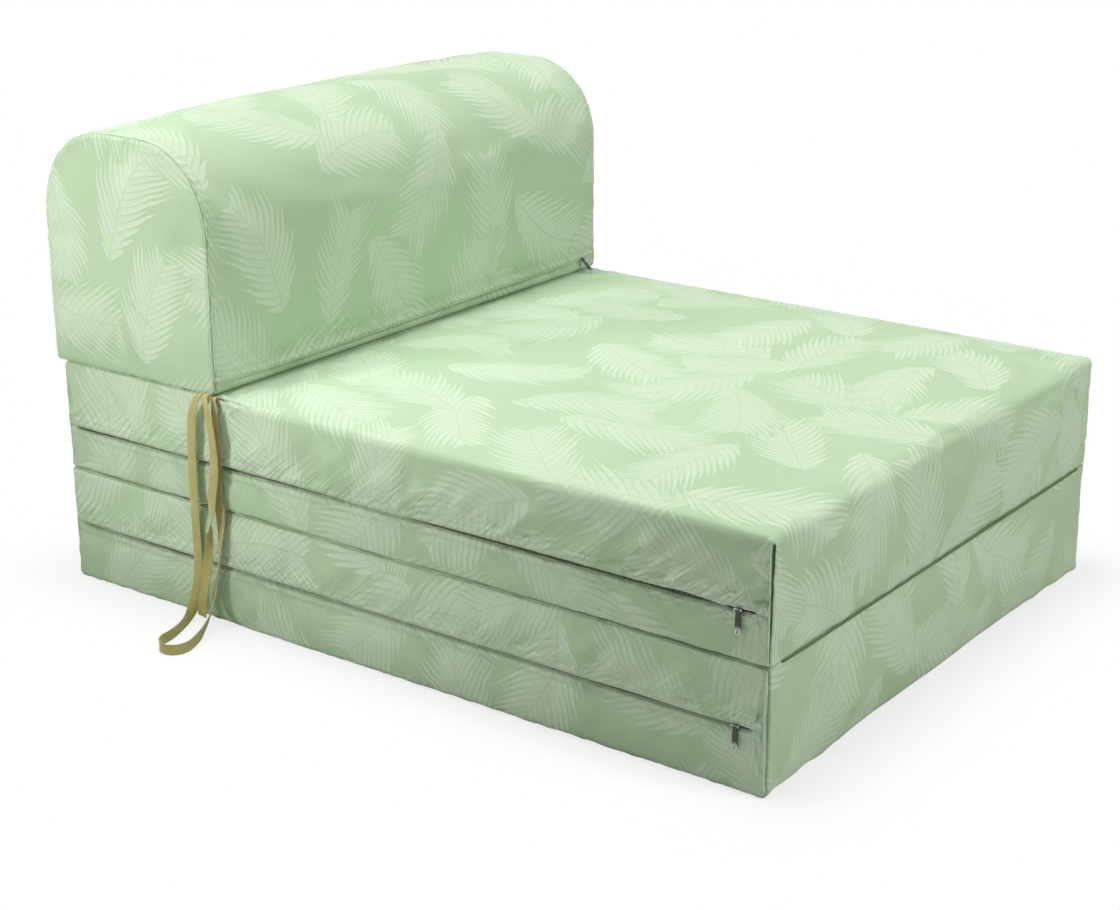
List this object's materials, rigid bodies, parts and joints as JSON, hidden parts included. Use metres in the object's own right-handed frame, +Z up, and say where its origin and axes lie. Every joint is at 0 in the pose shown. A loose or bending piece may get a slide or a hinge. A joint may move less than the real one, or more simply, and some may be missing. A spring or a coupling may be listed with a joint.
{
  "type": "fold-out chair bed",
  "caption": "Fold-out chair bed: stacked foam blocks and an arched backrest in zipped leaf-print cloth covers, joined by cloth hinges, with a ribbon tie.",
  "frame": {"origin": "On the floor, under the middle of the folded chair's bounding box.", "axes": "+X to the chair's right as one sits on it, +Y to its backrest, +Z up. The zipped sides face -X."},
  "size_m": [0.7831, 0.9332, 0.5208],
  "materials": {
    "cover_cloth": "matt woven cloth with a light green leaf print",
    "hinge_tape": "matt cloth tape",
    "foam": "open-cell foam",
    "zip_tape": "woven tape",
    "zip_teeth": "moulded",
    "zip_metal": "plated, dull",
    "ribbon": "khaki ribbon with a fine rib"
  },
  "bodies": {
    "base": {"base_foam": "foam", "base_cover_wrap": "cover_cloth", "base_cover_plain_side": "cover_cloth", "base_cover_zip_side_upper": "cover_cloth", "base_cover_zip_side_lower": "cover_cloth", "base_zip_tape_upper": "zip_tape", "base_zip_tape_lower": "zip_tape", "base_zip_teeth_upper": "zip_teeth", "base_zip_teeth_lower": "zip_teeth", "base_zip_stops": "zip_metal", "front_hinge_base_tape": "hinge_tape"},
    "base_slider": {"base_zip_slider": "zip_metal"},
    "base_pull": {"base_zip_pull": "zip_metal"},
    "seat": {"seat_foam": "foam", "seat_cover_wrap": "cover_cloth", "seat_cover_plain_side": "cover_cloth", "seat_cover_zip_side_upper": "cover_cloth", "seat_cover_zip_side_lower": "cover_cloth", "seat_zip_tape_upper": "zip_tape", "seat_zip_tape_lower": "zip_tape", "seat_zip_teeth_upper": "zip_teeth", "seat_zip_teeth_lower": "zip_teeth", "seat_zip_stops": "zip_metal", "front_hinge_seat_tape": "hinge_tape", "rear_hinge_seat_tape": "hinge_tape", "tie_loop": "ribbon", "tie_tail": "ribbon"},
    "seat_slider": {"seat_zip_slider": "zip_metal"},
    "seat_pull": {"seat_zip_pull": "zip_metal"},
    "backrest": {"backrest_foam": "foam", "backrest_cover_wrap": "cover_cloth", "backrest_cover_base": "cover_cloth", "backrest_cover_left_end": "cover_cloth", "backrest_cover_right_end": "cover_cloth", "backrest_zip_tape_upper": "zip_tape", "backrest_zip_tape_lower": "zip_tape", "backrest_zip_teeth_upper": "zip_teeth", "backrest_zip_teeth_lower": "zip_teeth", "backrest_zip_stops": "zip_metal", "rear_hinge_backrest_tape": "hinge_tape"},
    "backrest_slider": {"backrest_zip_slider": "zip_metal"},
    "backrest_pull": {"backrest_zip_pull": "zip_metal"}
  },
  "joints": [
    {"name": "seat_unfold", "type": "hinge", "parent": "base", "child": "seat", "pos_m": [0, -0.46555, 0.1302], "axis": [1, 0, 0], "range_deg": [0, 180]},
    {"name": "backrest_unfold", "type": "hinge", "parent": "seat", "child": "backrest", "pos_m": [0, 0.46555, 0.2556], "axis": [-1, 0, 0], "range_deg": [0, 180]},
    {"name": "base_zip_slide", "type": "slide", "parent": "base", "child": "base_slider", "axis": [0, 1, 0], "range_m": [0, 0.85]},
    {"name": "base_pull_swing", "type": "hinge", "parent": "base_slider", "child": "base_pull", "pos_m": [-0.3436, -0.43075, 0.0663], "axis": [0, 1, 0], "range_deg": [0, 170]},
    {"name": "seat_zip_slide", "type": "slide", "parent": "seat", "child": "seat_slider", "axis": [0, 1, 0], "range_m": [0, 0.85]},
    {"name": "seat_pull_swing", "type": "hinge", "parent": "seat_slider", "child": "seat_pull", "pos_m": [-0.3436, -0.43075, 0.1804], "axis": [0, 1, 0], "range_deg": [0, 170]},
    {"name": "backrest_zip_slide", "type": "slide", "parent": "backrest", "child": "backrest_slider", "axis": [-1, 0, 0], "range_m": [0, 0.615]},
    {"name": "backrest_pull_swing", "type": "hinge", "parent": "backrest_slider", "child": "backrest_pull", "pos_m": [0.308, 0.21265, 0.2728], "axis": [-1, 0, 0], "range_deg": [0, 125]}
  ]
}
